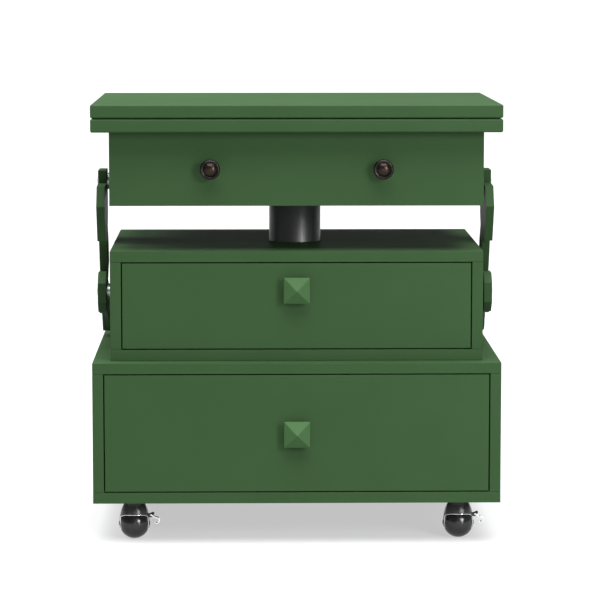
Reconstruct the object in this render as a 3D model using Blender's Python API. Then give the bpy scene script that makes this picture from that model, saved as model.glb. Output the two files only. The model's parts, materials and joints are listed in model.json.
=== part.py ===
"""A sewing table on ball casters.

Two stacked drawer cabinets carry a telescopic column. The column carries a drawer case with a folding
work top. Cranked arms at the sides steady the case as it rises. Metres, +Z up, drawers open towards -Y.
The origin is on the floor, under the middle of the whole table.
"""

import math

import bmesh
import bpy
from mathutils import Matrix, Vector

for leftover in list(bpy.data.objects):
    bpy.data.objects.remove(leftover, do_unlink=True)

# Driving dimensions
WIDTH = 0.674
DEPTH = 0.458
KNOB_DEPTH = 0.030
HINGE_REACH = 0.006
BOARD = 0.018
BACK_BOARD = 0.012
SETBACK = 0.029
CASTER_HEIGHT = 0.068
LOWER_HEIGHT = 0.234
MIDDLE_HEIGHT = 0.182
COLUMN_SHOWING = 0.075
CASE_HEIGHT = 0.122
LEAF = 0.022
LEAF_GAP = 0.0015
GAP = 0.0003
REVEAL = 0.002
EDGE = 0.0008
LEAF_EDGE = 0.003
HOLE_CLEARANCE = 0.0006

# Planes worked out from them
HALF = WIDTH / 2
INNER_HALF = HALF - SETBACK
FRONT = -(DEPTH + KNOB_DEPTH + HINGE_REACH) / 2 + KNOB_DEPTH
REAR = FRONT + DEPTH
INNER_FRONT = FRONT + SETBACK
INNER_REAR = REAR - SETBACK
LOWER_BOTTOM = CASTER_HEIGHT
LOWER_TOP = LOWER_BOTTOM + LOWER_HEIGHT
MIDDLE_BOTTOM = LOWER_TOP + GAP
MIDDLE_TOP = LOWER_TOP + MIDDLE_HEIGHT
CASE_BOTTOM = MIDDLE_TOP + COLUMN_SHOWING
CASE_TOP = CASE_BOTTOM + CASE_HEIGHT
LEAF_MEET = CASE_TOP + LEAF + LEAF_GAP / 2
HINGE_X = HALF * 0.7
HINGE_Y = REAR + 0.0025

# Drawers
RUNNER_ROOM = 0.0135
TRAY_WALL = 0.012
TRAY_FLOOR = 0.006
TRAY_LIFT = 0.008
TRAY_DROP = 0.022
CASE_FLOOR = 0.012
PYRAMID_WIDTH = 0.043
MIDDLE_KNOB_RISE = 0.027
ROUND_KNOB_X = 0.142
ROUND_KNOB_RADIUS = 0.0165

# Column
COLUMN_RADIUS = 0.044
COLUMN_BORE = 0.0395
SLIDER_RADIUS = 0.0388
SLIDER_BORE = 0.034
FLANGE_RADIUS = 0.058
TOP_FLANGE_RADIUS = 0.070
COLUMN_Y = INNER_FRONT + 0.200
TRAY_NOTCH = 0.062

# Side arms: pivots as (distance behind the middle cabinet's front, height)
LOWER_PIVOT = Vector((0.184, 0.397))
KNEE = Vector((0.327, 0.337))
UPPER_PIVOT = Vector((0.220, 0.584))
ARM_INSIDE = 0.3225
ARM_OUTSIDE = 0.3365
KNEE_RADIUS = 0.026
LAP_RADIUS = 0.115
BOLT_RADIUS = 0.004
BOLT_HOLE = 0.0044
COLLAR_RADIUS = 0.014
KNEE_COLLAR_RADIUS = 0.008
OVERSHOOT = 0.002

# Casters
CASTER_X = HALF - 0.066
CASTER_INSET = 0.045
TRAIL = 0.008
BALL_RADIUS = 0.025
BALL_HALF_WIDTH = 0.022
HOOD_RIM = 0.0405
HOOD_TOP = 0.0655
BALL_CLEARANCE = 0.0008
PIN_RADIUS = 0.004
AXLE_RADIUS = 0.0026
BORE_CLEARANCE = 0.0004


def material(name, colour, roughness, metallic=0.0):
    """A Principled material of one colour."""
    made = bpy.data.materials.new(name)
    made.use_nodes = True
    shader = made.node_tree.nodes["Principled BSDF"]
    shader.inputs["Base Color"].default_value = (*colour, 1)
    shader.inputs["Roughness"].default_value = roughness
    shader.inputs["Metallic"].default_value = metallic
    return made


GREEN = material("green_paint", (0.052, 0.11, 0.045), 0.4)
BIRCH = material("birch_ply", (0.62, 0.46, 0.29), 0.55)
BLACK_STEEL = material("black_steel", (0.018, 0.018, 0.018), 0.35, 0.4)
BRONZE = material("dark_bronze", (0.10, 0.075, 0.055), 0.35, 0.9)
CHROME = material("chrome", (0.75, 0.75, 0.75), 0.12, 1.0)
ZINC = material("zinc_steel", (0.55, 0.56, 0.57), 0.35, 1.0)
HOOD_BLACK = material("hood_black", (0.03, 0.03, 0.03), 0.3)
BALL_BLACK = material("ball_black", (0.028, 0.028, 0.028), 0.45)


def pivot(name, at):
    """An empty on a joint's axis, which the pieces of one moving body are parented to."""
    empty = bpy.data.objects.new(name, None)
    bpy.context.collection.objects.link(empty)
    empty.location = at
    return empty


def place(name, bm, finish, at=(0, 0, 0), body=None):
    """Turns a bmesh into an object whose origin is at a world point, parented to its body's empty."""
    bmesh.ops.recalc_face_normals(bm, faces=bm.faces)
    mesh = bpy.data.meshes.new(name)
    bm.to_mesh(mesh)
    bm.free()
    mesh.materials.append(finish)
    made = bpy.data.objects.new(name, mesh)
    bpy.context.collection.objects.link(made)
    made.location = Vector(at)
    if body:
        made.parent = body
        made.location -= body.location
    return made


def box_mesh(low, high, centre):
    """A box between two corners, with its vertices relative to a centre point."""
    bm = bmesh.new()
    bmesh.ops.create_cube(bm, size=1)
    size = Vector(high) - Vector(low)
    middle = (Vector(high) + Vector(low)) / 2 - Vector(centre)
    bmesh.ops.scale(bm, vec=size, verts=bm.verts)
    bmesh.ops.translate(bm, vec=middle, verts=bm.verts)
    return bm


def board(name, low, high, finish=GREEN, body=None, edge=EDGE, segments=1):
    """A flat board between two world corners, with eased edges."""
    centre = (Vector(low) + Vector(high)) / 2
    made = place(name, box_mesh(low, high, centre), finish, centre, body)
    ease = made.modifiers.new("eased edges", "BEVEL")
    ease.width = edge
    ease.segments = segments
    return made


def prism_mesh(outline, start, end, axis):
    """An outline extruded along X, Y or Z. Its points are in the other two axes, in X, Y, Z order."""
    bm = bmesh.new()
    corners = []
    for a, b in outline:
        point = {"X": (start, a, b), "Y": (a, start, b), "Z": (a, b, start)}[axis]
        corners.append(bm.verts.new(point))
    face = bm.faces.new(corners)
    copied = bmesh.ops.extrude_face_region(bm, geom=[face])["geom"]
    along = {"X": Vector((1, 0, 0)), "Y": Vector((0, 1, 0)), "Z": Vector((0, 0, 1))}[axis]
    moved = [v for v in copied if isinstance(v, bmesh.types.BMVert)]
    bmesh.ops.translate(bm, vec=along * (end - start), verts=moved)
    return bm


def turned_mesh(profile, segments, axis="Z", closed=False, phase=0.0):
    """A turned shape: (radius, height) points spun about an axis. A closed profile makes a ring."""
    bm = bmesh.new()
    rings = []
    for radius, height in profile:
        if radius == 0:
            rings.append([bm.verts.new((0, 0, height))])
            continue
        ring = []
        for step in range(segments):
            angle = phase + 2 * math.pi * step / segments
            ring.append(bm.verts.new((radius * math.cos(angle), radius * math.sin(angle), height)))
        rings.append(ring)
    pairs = list(zip(rings, rings[1:]))
    if closed:
        pairs.append((rings[-1], rings[0]))
    for upper, lower in pairs:
        for step in range(segments):
            after = (step + 1) % segments
            corners = [
                upper[step % len(upper)],
                upper[after % len(upper)],
                lower[after % len(lower)],
                lower[step % len(lower)],
            ]
            bm.faces.new(list(dict.fromkeys(corners)))
    turn = {
        "X": Matrix.Rotation(math.pi / 2, 3, "Y"),
        "-Y": Matrix.Rotation(math.pi / 2, 3, "X"),
        "Z": Matrix.Identity(3),
    }[axis]
    bmesh.ops.rotate(bm, matrix=turn, verts=bm.verts)
    return bm


def rod_profile(radius, start, end):
    """The profile of a plain rod."""
    return [(0, start), (radius, start), (radius, end), (0, end)]


def cutter(name, bm, at=(0, 0, 0)):
    """A helper shape for a Boolean, hidden from renders."""
    made = place(name, bm, ZINC, at)
    made.hide_render = True
    made.display_type = "WIRE"
    return made


def boolean(target, tool, operation):
    """Adds or removes a helper shape."""
    change = target.modifiers.new(tool.name, "BOOLEAN")
    change.operation = operation
    change.object = tool
    change.solver = "EXACT"


def arc(centre, radius, start, end, steps):
    """Points on an arc, with angles in degrees."""
    points = []
    for step in range(steps + 1):
        angle = math.radians(start + (end - start) * step / steps)
        points.append((centre[0] + radius * math.cos(angle), centre[1] + radius * math.sin(angle)))
    return points


def cabinet(prefix, half, front, rear, bottom, top):
    """Five boards: the top and bottom run the full width, with the sides and back between them."""
    under = bottom + BOARD + GAP
    over = top - BOARD - GAP
    inside = half - BOARD
    board(f"{prefix}_bottom_panel", (-half, front, bottom), (half, rear, bottom + BOARD))
    board(f"{prefix}_left_side", (-half, front, under), (-inside, rear, over))
    board(f"{prefix}_right_side", (inside, front, under), (half, rear, over))
    back = inside - GAP
    board(f"{prefix}_back_panel", (-back, rear - BACK_BOARD, under), (back, rear, over))
    return board(f"{prefix}_top_panel", (-half, front, top - BOARD), (half, rear, top))


def tray(name, plan, half, front, rear, floor, rim, body, notch=()):
    """A drawer tray: a plan's outline, hollowed down to its floor by the same plan moved in by the wall."""
    outer = plan(half, front, rear, *notch)
    inner = plan(half, front, rear, *notch, inset=TRAY_WALL)
    made = place(name, prism_mesh(outer, floor, rim, "Z"), BIRCH, (0, 0, 0), body)
    hollow = cutter(f"{name}_hollow", prism_mesh(inner, floor + TRAY_FLOOR, rim + TRAY_WALL, "Z"))
    boolean(made, hollow, "DIFFERENCE")


def rectangle(half, front, rear, inset=0.0):
    """A rectangle's corners, moved in by an inset."""
    left, right = -half + inset, half - inset
    return [(left, front + inset), (right, front + inset), (right, rear - inset), (left, rear - inset)]


def notched(half, front, rear, notch, notch_front, inset=0.0):
    """A rectangle with a notch in its rear edge, moved in by an inset."""
    x, n = half - inset, notch + inset
    near, far, root = front + inset, rear - inset, notch_front - inset
    return [(-x, near), (x, near), (x, far), (n, far), (n, root), (-n, root), (-n, far), (-x, far)]


def pyramid_knob(name, front, height, body):
    """A square knob: a neck, a slab and a low pyramid."""
    half_diagonal = PYRAMID_WIDTH / math.sqrt(2)
    profile = [
        (0, GAP),
        (half_diagonal * 0.50, GAP),
        (half_diagonal * 0.44, KNOB_DEPTH * 0.34),
        (half_diagonal, KNOB_DEPTH * 0.42),
        (half_diagonal, KNOB_DEPTH * 0.56),
        (0, KNOB_DEPTH),
    ]
    bm = turned_mesh(profile, 4, "-Y", phase=math.pi / 4)
    return place(name, bm, GREEN, (0, front, height), body)


def round_knob(name, x, front, height, body):
    """A turned mushroom knob with a foot, a waist and a beaded cap."""
    r = ROUND_KNOB_RADIUS
    profile = [
        (0, GAP),
        (r * 0.62, GAP),
        (r * 0.60, 0.0022),
        (r * 0.40, 0.0045),
        (r * 0.38, 0.0100),
        (r * 0.62, 0.0140),
        (r * 0.97, 0.0165),
        (r, 0.0185),
        (r * 0.95, 0.0205),
        (r * 0.80, 0.0225),
        (r * 0.72, 0.0222),
        (r * 0.45, 0.0250),
        (0, 0.0262),
    ]
    return place(name, turned_mesh(profile, 20, "-Y"), BRONZE, (x, front, height), body)


def runner(prefix, side, half, front, rear, height):
    """A channel on the inside of a cabinet's wall, which a tray slides along."""
    channel_height, skin = 0.030, 0.002
    wall = side * (half - BOARD - GAP)
    lip = side * (half - BOARD - RUNNER_ROOM + 0.001)
    low, high = height - channel_height / 2, height + channel_height / 2
    outline = [
        (lip, low),
        (wall, low),
        (wall, high),
        (lip, high),
        (lip, high - skin),
        (wall - side * skin, high - skin),
        (wall - side * skin, low + skin),
        (lip, low + skin),
    ]
    name = f"{prefix}_{'right' if side > 0 else 'left'}_runner"
    return place(name, prism_mesh(outline, front, rear, "Y"), ZINC)


def inset_drawer(prefix, half, front, rear, bottom, top, knob_height, notch=()):
    """A flush front, a tray on side runners, and a pyramid knob."""
    opening = half - BOARD
    low, high = bottom + BOARD, top - BOARD
    body = pivot(f"{prefix}_drawer", (0, front, (low + high) / 2))
    face_low = (-opening + REVEAL, front, low + REVEAL)
    face_high = (opening - REVEAL, front + BOARD, high - REVEAL)
    board(f"{prefix}_drawer_front", face_low, face_high, GREEN, body)
    near, far = front + BOARD + GAP, rear - BACK_BOARD - BOARD
    floor, rim = low + TRAY_LIFT, high - TRAY_DROP
    plan = notched if notch else rectangle
    tray(f"{prefix}_drawer_tray", plan, opening - RUNNER_ROOM, near, far, floor, rim, body, notch)
    pyramid_knob(f"{prefix}_drawer_knob", front, knob_height, body)
    for side in (-1, 1):
        runner(prefix, side, half, near + BOARD, far, (floor + rim) / 2)


def lower_cabinet():
    cabinet("lower", HALF, FRONT, REAR, LOWER_BOTTOM, LOWER_TOP)
    middle = (LOWER_BOTTOM + LOWER_TOP) / 2
    inset_drawer("lower", HALF, FRONT, REAR, LOWER_BOTTOM, LOWER_TOP, middle)


def middle_cabinet():
    top = cabinet("middle", INNER_HALF, INNER_FRONT, INNER_REAR, MIDDLE_BOTTOM, MIDDLE_TOP)
    drill = turned_mesh(rod_profile(COLUMN_RADIUS + HOLE_CLEARANCE, -BOARD, BOARD), 36)
    hole = cutter("column_hole", drill, (0, COLUMN_Y, MIDDLE_TOP - BOARD / 2))
    boolean(top, hole, "DIFFERENCE")
    middle = (MIDDLE_BOTTOM + MIDDLE_TOP) / 2 + MIDDLE_KNOB_RISE
    notch = (TRAY_NOTCH, COLUMN_Y - TRAY_NOTCH)
    inset_drawer(
        "middle", INNER_HALF, INNER_FRONT, INNER_REAR, MIDDLE_BOTTOM, MIDDLE_TOP, middle, notch
    )


def column(lift):
    """A tube standing on the middle cabinet's floor, and a slider inside it under the case."""
    foot = MIDDLE_BOTTOM + BOARD + GAP
    flange_low, flange_high = CASE_BOTTOM - 0.006, CASE_BOTTOM - GAP
    tube = [
        (COLUMN_BORE, foot),
        (FLANGE_RADIUS, foot),
        (FLANGE_RADIUS, foot + 0.005),
        (COLUMN_RADIUS, foot + 0.005),
        (COLUMN_RADIUS, flange_low - 0.0005),
        (COLUMN_BORE, flange_low - 0.0005),
    ]
    place("column_tube", turned_mesh(tube, 36, closed=True), BLACK_STEEL, (0, COLUMN_Y, 0))
    slider = [
        (0, flange_high),
        (TOP_FLANGE_RADIUS, flange_high),
        (TOP_FLANGE_RADIUS, flange_low),
        (SLIDER_RADIUS, flange_low),
        (SLIDER_RADIUS, foot + 0.016),
        (SLIDER_BORE, foot + 0.016),
        (SLIDER_BORE, flange_low),
        (0, flange_low),
    ]
    place("column_slider", turned_mesh(slider, 36), BLACK_STEEL, (0, COLUMN_Y, 0), lift)


def case(lift):
    """The case that rises: four boards under the fixed leaf, and its wide drawer."""
    half, inside = INNER_HALF, INNER_HALF - BOARD
    near, top = INNER_FRONT + BOARD + GAP, CASE_TOP - GAP
    board("case_left_side", (-half, near, CASE_BOTTOM), (-inside, INNER_REAR, top), GREEN, lift)
    board("case_right_side", (inside, near, CASE_BOTTOM), (half, INNER_REAR, top), GREEN, lift)
    within = inside - GAP
    floor_top = CASE_BOTTOM + CASE_FLOOR
    board("case_floor", (-within, near, CASE_BOTTOM), (within, INNER_REAR, floor_top), GREEN, lift)
    back_low = (-within, INNER_REAR - BACK_BOARD, floor_top + GAP)
    board("case_back_panel", back_low, (within, INNER_REAR, top), GREEN, lift)

    body = pivot("top_drawer", (0, INNER_FRONT, (CASE_BOTTOM + CASE_TOP) / 2))
    face_high = (half, INNER_FRONT + BOARD, CASE_TOP - LEAF_GAP)
    board("top_drawer_front", (-half, INNER_FRONT, CASE_BOTTOM), face_high, GREEN, body)
    far = INNER_REAR - BACK_BOARD - BOARD
    tray_half = inside - 0.003
    floor, rim = floor_top + 2 * GAP, CASE_TOP - 0.016
    tray("top_drawer_tray", rectangle, tray_half, near, far, floor, rim, body)
    knob_height = (CASE_BOTTOM + CASE_TOP) / 2
    round_knob("top_drawer_left_knob", -ROUND_KNOB_X, INNER_FRONT, knob_height, body)
    round_knob("top_drawer_right_knob", ROUND_KNOB_X, INNER_FRONT, knob_height, body)


def hinge_half(name, x, plate_outline, barrels, body):
    """A hinge leaf on the work top's rear edge, with its share of the knuckle."""
    knuckle = 0.0035
    plate = [(x + a, b) for a, b in plate_outline]
    made = place(name, prism_mesh(plate, REAR + GAP, REAR + 0.0018, "Y"), ZINC, (0, 0, 0), body)
    for number, (start, end) in enumerate(barrels):
        barrel = turned_mesh(rod_profile(knuckle, start, end), 16, "X")
        tool = cutter(f"{name}_barrel_{number}", barrel, (x, HINGE_Y, LEAF_MEET))
        boolean(made, tool, "UNION")


def work_top(lift):
    """A fixed leaf on the case, and a leaf that folds back over 180 degrees on two hinges."""
    fold = pivot("folding_leaf_pivot", (0, HINGE_Y, LEAF_MEET))
    for name, low, body in (
        ("fixed_leaf", CASE_TOP, lift),
        ("folding_leaf", CASE_TOP + LEAF + LEAF_GAP, fold),
    ):
        board(name, (-HALF, FRONT, low), (HALF, REAR, low + LEAF), GREEN, body, LEAF_EDGE, 3)
    wide, narrow, slack = 0.020, 0.0070, 0.0003
    reach, shoulder, tab = 0.0185, 0.0045, 0.0020
    under = [
        (-wide, LEAF_MEET - reach),
        (wide, LEAF_MEET - reach),
        (wide, LEAF_MEET - tab),
        (narrow, LEAF_MEET - tab),
        (narrow, LEAF_MEET - shoulder),
        (-narrow, LEAF_MEET - shoulder),
        (-narrow, LEAF_MEET - tab),
        (-wide, LEAF_MEET - tab),
    ]
    tongue = narrow - slack
    over = [
        (-wide, LEAF_MEET + reach),
        (-wide, LEAF_MEET + shoulder),
        (-tongue, LEAF_MEET + shoulder),
        (-tongue, LEAF_MEET + tab),
        (tongue, LEAF_MEET + tab),
        (tongue, LEAF_MEET + shoulder),
        (wide, LEAF_MEET + shoulder),
        (wide, LEAF_MEET + reach),
    ]
    for label, x in (("left", -HINGE_X), ("right", HINGE_X)):
        hinge_half(f"{label}_hinge_lower", x, under, ((-wide, -narrow), (narrow, wide)), lift)
        hinge_half(f"{label}_hinge_upper", x, over, ((-tongue, tongue),), fold)


def arm_point(point):
    """A point of an arm's outline as (Y, Z)."""
    return (INNER_FRONT + point[0], point[1])


def arm(name, outline, side, lap_from, lap_to, holes, body):
    """A flat arm at one side, halved over the knee so that the two arms lie in one plane."""
    inside, outside = sorted((side * ARM_INSIDE, side * ARM_OUTSIDE))
    bm = prism_mesh([arm_point(p) for p in outline], inside, outside, "X")
    made = place(name, bm, GREEN, (0, 0, 0), body)
    low, high = sorted((side * lap_from, side * lap_to))
    lap = turned_mesh(rod_profile(LAP_RADIUS, low, high), 64, "X")
    boolean(made, cutter(f"{name}_lap", lap, (0, *arm_point(KNEE))), "DIFFERENCE")
    low, high = sorted((side * (ARM_INSIDE - OVERSHOOT), side * (ARM_OUTSIDE + OVERSHOOT)))
    for number, hole in enumerate(holes):
        drill = turned_mesh(rod_profile(BOLT_HOLE, low, high), 14, "X")
        boolean(made, cutter(f"{name}_hole_{number}", drill, (0, *arm_point(hole))), "DIFFERENCE")


def shoulder_bolt(name, point, side, collar_from, collar_radius, body=None):
    """A bolt through an arm, with a collar behind it and a domed head outside it."""
    collar_to, head = ARM_INSIDE - GAP, ARM_OUTSIDE + GAP
    profile = [
        (0, collar_from),
        (collar_radius, collar_from),
        (collar_radius, collar_to),
        (BOLT_RADIUS, collar_to),
        (BOLT_RADIUS, head),
        (0.0085, head),
        (0.0080, head + 0.0012),
        (0.0050, head + 0.0022),
        (0, head + 0.0025),
    ]
    bm = turned_mesh([(r, side * x) for r, x in profile], 14, "X")
    place(name, bm, ZINC, (0, *arm_point(point)), body)


def side_arms(label, side):
    """An upper and a lower arm that meet at a knee behind the middle cabinet's middle."""
    along = (KNEE - LOWER_PIVOT).angle_signed(Vector((1, 0)))
    slope = math.degrees(along)
    lower_pivot = pivot(f"{label}_lower_arm_pivot", (side * ARM_OUTSIDE, *arm_point(LOWER_PIVOT)))
    knee_pivot = pivot(f"{label}_knee_pivot", (side * ARM_OUTSIDE, *arm_point(KNEE)))
    middle = (ARM_INSIDE + ARM_OUTSIDE) / 2
    beyond = ARM_OUTSIDE + OVERSHOOT
    before = ARM_INSIDE - OVERSHOOT

    head = [(0.171, 0.430), (0.153, 0.414), (0.153, 0.381), (0.171, 0.363), (0.196, 0.363)]
    lower = head + arc(KNEE, KNEE_RADIUS, slope - 90, slope + 90, 12) + [(0.203, 0.430)]
    holes = (LOWER_PIVOT, KNEE)
    arm(f"{label}_lower_arm", lower, side, middle - GAP, beyond, holes, lower_pivot)
    on_cabinet = INNER_HALF + GAP
    shoulder_bolt(f"{label}_lower_pivot_bolt", LOWER_PIVOT, side, on_cabinet, COLLAR_RADIUS)
    under_knee = ARM_INSIDE - 0.004
    shoulder_bolt(f"{label}_knee_bolt", KNEE, side, under_knee, KNEE_COLLAR_RADIUS, lower_pivot)

    front = [
        (0.192, 0.604), (0.196, 0.582), (0.146, 0.580), (0.125, 0.547), (0.156, 0.486),
        (0.206, 0.482), (0.227, 0.434), (0.262, 0.385),
    ]
    rear = [
        (0.305, 0.402), (0.276, 0.445), (0.259, 0.480), (0.239, 0.505), (0.250, 0.529),
        (0.250, 0.604),
    ]
    upper = front + arc(KNEE, KNEE_RADIUS, 180, 390, 14) + rear
    arm(f"{label}_upper_arm", upper, side, before, middle + GAP, (UPPER_PIVOT, KNEE), knee_pivot)
    short_of_case = INNER_HALF + 0.001
    name = f"{label}_upper_pivot_bolt"
    shoulder_bolt(name, UPPER_PIVOT, side, short_of_case, COLLAR_RADIUS, knee_pivot)


def caster(label, x, y, locking):
    """A ball caster: a plate with a king pin, a swivelling hood, and a ball on its own stub axle."""
    plate_half, plate = 0.019, 0.002
    ball_y = y + TRAIL
    swivel_axis = (x, y, 0)
    plate_bottom = CASTER_HEIGHT - GAP - plate
    plate_low = (x - plate_half, y - plate_half, plate_bottom)
    plate_high = (x + plate_half, y + plate_half, plate_bottom + plate)
    plate_mesh = box_mesh(plate_low, plate_high, swivel_axis)
    mount = place(f"{label}_caster_plate", plate_mesh, ZINC, swivel_axis)
    pin_bottom = HOOD_TOP - 0.009
    pin = turned_mesh(rod_profile(PIN_RADIUS, pin_bottom, CASTER_HEIGHT - 0.001), 16)
    boolean(mount, cutter(f"{label}_king_pin", pin, swivel_axis), "UNION")

    swivel = pivot(f"{label}_caster_swivel", (x, y, HOOD_TOP))
    dome = BALL_RADIUS + BALL_CLEARANCE
    rim_angle = math.asin((HOOD_RIM - BALL_RADIUS) / dome)
    inner = arc((0, BALL_RADIUS), dome, math.degrees(rim_angle), 90, 4)
    inner[-1] = (0, BALL_RADIUS + dome)
    outer = [
        (0, HOOD_TOP),
        (0.0130, HOOD_TOP),
        (0.0165, 0.0590),
        (0.0200, 0.0500),
        (0.0216, HOOD_RIM + 0.0015),
        (0.0234, HOOD_RIM + 0.0012),
        (0.0234, HOOD_RIM),
    ]
    hood = place(
        f"{label}_caster_hood", turned_mesh(outer + inner, 24), HOOD_BLACK, (x, ball_y, 0), swivel
    )
    for side in (-1, 1):
        low_x, high_x = sorted((side * (BALL_HALF_WIDTH + 0.0005), side * 0.0247))
        cheek_top = HOOD_RIM + 0.001
        cheek = [(-0.0075, 0.0180), (0.0075, 0.0180), (0.0095, cheek_top), (-0.0095, cheek_top)]
        cheek_mesh = prism_mesh(cheek, low_x, high_x, "X")
        name = f"{label}_cheek_{'right' if side > 0 else 'left'}"
        boolean(hood, cutter(name, cheek_mesh, (x, ball_y, 0)), "UNION")
    if locking:
        lug = box_mesh((0.0225, -0.004, 0.0375), (0.0300, 0.004, HOOD_RIM + 0.001), (0, 0, 0))
        boolean(hood, cutter(f"{label}_lug", lug, (x, ball_y, 0)), "UNION")
    bore = turned_mesh(rod_profile(AXLE_RADIUS + BORE_CLEARANCE, -0.03, 0.03), 16, "X")
    boolean(hood, cutter(f"{label}_axle_bore", bore, (x, ball_y, BALL_RADIUS)), "DIFFERENCE")
    socket = turned_mesh(rod_profile(PIN_RADIUS + BORE_CLEARANCE, pin_bottom - 0.001, 0.07), 16)
    boolean(hood, cutter(f"{label}_socket", socket, swivel_axis), "DIFFERENCE")

    axle = pivot(f"{label}_wheel_axle", (x, ball_y, BALL_RADIUS))
    flat = math.degrees(math.asin(BALL_HALF_WIDTH / BALL_RADIUS))
    rounded = arc((0, 0), BALL_RADIUS, -flat, flat, 8)
    stub = 0.0242
    profile = [(0, -stub), (AXLE_RADIUS, -stub), (AXLE_RADIUS, -BALL_HALF_WIDTH), *rounded]
    profile += [(AXLE_RADIUS, BALL_HALF_WIDTH), (AXLE_RADIUS, stub), (0, stub)]
    place(f"{label}_caster_ball", turned_mesh(profile, 24, "X"), BALL_BLACK, axle.location, axle)

    if locking:
        lever = pivot(f"{label}_brake_pivot", (x + 0.028, ball_y, 0.0395))
        yoke, tab, tip = 0.0064, 0.0070, 0.0180
        slot = 0.0044
        outline = [
            (-0.002, -yoke), (0.0100, -tab), (tip - 0.003, -tab), (tip, -0.004), (tip, 0.004),
            (tip - 0.003, tab), (0.0100, tab), (-0.002, yoke), (-0.002, slot), (0.0036, slot),
            (0.0036, -slot), (-0.002, -slot),
        ]
        lever_mesh = prism_mesh(outline, -0.001, 0.001, "Z")
        place(f"{label}_brake_lever", lever_mesh, CHROME, lever.location, lever)


def casters():
    """Four casters, with a brake lever on the front pair."""
    for label, side, y in (
        ("front_left", -1, FRONT + CASTER_INSET),
        ("front_right", 1, FRONT + CASTER_INSET),
        ("rear_left", -1, REAR - CASTER_INSET - TRAIL),
        ("rear_right", 1, REAR - CASTER_INSET - TRAIL),
    ):
        caster(label, side * CASTER_X, y, label.startswith("front"))


def sewing_table():
    lift = pivot("top_unit", (0, COLUMN_Y, CASE_BOTTOM))
    lower_cabinet()
    middle_cabinet()
    column(lift)
    case(lift)
    work_top(lift)
    side_arms("left", -1)
    side_arms("right", 1)
    casters()


sewing_table()
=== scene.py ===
"""The looks of a sewing table: fine meshes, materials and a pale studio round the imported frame.

Metres, +Z up, drawers open towards -Y. Boards, trays, knobs, arms and casters are made again from
the boxes of their CAD nodes, with eased edges, and ride on the same bodies.
"""

import json
import math

import bmesh
import bpy
from mathutils import Matrix, Vector

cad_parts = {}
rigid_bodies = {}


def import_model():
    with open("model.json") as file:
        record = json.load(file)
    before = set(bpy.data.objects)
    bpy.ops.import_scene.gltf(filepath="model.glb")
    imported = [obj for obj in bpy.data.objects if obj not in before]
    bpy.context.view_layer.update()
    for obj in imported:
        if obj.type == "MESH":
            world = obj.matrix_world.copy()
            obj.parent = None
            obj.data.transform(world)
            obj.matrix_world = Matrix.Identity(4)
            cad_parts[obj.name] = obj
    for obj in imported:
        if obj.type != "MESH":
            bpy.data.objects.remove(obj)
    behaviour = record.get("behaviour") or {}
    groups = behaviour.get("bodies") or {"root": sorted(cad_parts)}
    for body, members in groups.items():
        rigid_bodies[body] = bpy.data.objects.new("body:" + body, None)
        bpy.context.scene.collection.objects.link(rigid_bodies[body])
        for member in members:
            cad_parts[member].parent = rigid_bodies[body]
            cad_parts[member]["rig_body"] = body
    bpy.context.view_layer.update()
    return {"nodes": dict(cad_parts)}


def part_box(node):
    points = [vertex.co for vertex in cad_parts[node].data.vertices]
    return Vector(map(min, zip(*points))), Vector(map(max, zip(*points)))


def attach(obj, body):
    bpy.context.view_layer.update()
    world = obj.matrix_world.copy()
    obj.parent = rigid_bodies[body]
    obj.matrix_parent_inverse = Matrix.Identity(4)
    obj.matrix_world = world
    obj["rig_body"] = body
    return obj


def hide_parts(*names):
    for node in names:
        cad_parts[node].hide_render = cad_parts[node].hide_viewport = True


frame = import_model()

MM = 0.001
SIDES = (("left", -1), ("right", 1))

# Boards and trays
BOARD_EASE = 0.6 * MM
LEAF_EASE = 3.0 * MM
TRAY_WALL = 12 * MM
TRAY_FLOOR = 6 * MM
TRAY_EASE = 0.7 * MM
NOTCH_HALF = 62 * MM

# Column
COLUMN_RADIUS = 44 * MM
COLUMN_BORE = 39.5 * MM
SLIDER_RADIUS = 38.8 * MM
FLANGE_THICK = 5 * MM
column_low, column_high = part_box("column_tube")
COLUMN_Y = (column_low.y + column_high.y) / 2

# Bolts and screws
BOLT_RADIUS = 4 * MM
BOLT_HEAD = 8.5 * MM
SCREW_HEAD = 3.2 * MM
FLANGE_SCREW = 4 * MM
PLATE_SCREW = 2.8 * MM
PIVOT_COLLAR = 14 * MM
KNEE_COLLAR = 8 * MM

# Casters: heights above the floor, and places from the middle of the ball
HOOD_TOP = 65.5 * MM
HOOD_RIM = 42.5 * MM
HOOD_SKIN = 1.2 * MM
RIM_DIP = 6.5 * MM
CHEEK_TIP = 18 * MM
CHEEK_START = 0.934
CHEEK_WIDE = 0.036
HUB_HALF = 24 * MM
BALL_FLAT = 22 * MM
CAP_END = 24.2 * MM
BRAKE_PIVOT = Vector((28 * MM, 0, 39.5 * MM))
ball_low, ball_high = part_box("front_left_caster_ball")
BALL_HEIGHT = (ball_low.z + ball_high.z) / 2

# Paint
PAINT = (0.0208, 0.0466, 0.0175)
# Painted light: the knobs take the same green paint made lighter, so that they read as more
# brightly lit.
KNOB_PAINTED_LIGHT = 1.45

# Camera
LENS = 168.5
SENSOR = 36
CLIP_END = 200
CAMERA_AT = (-0.077, -4.793, 0.943)
CAMERA_PITCH = 6.686
CAMERA_YAW = 1.026

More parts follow.
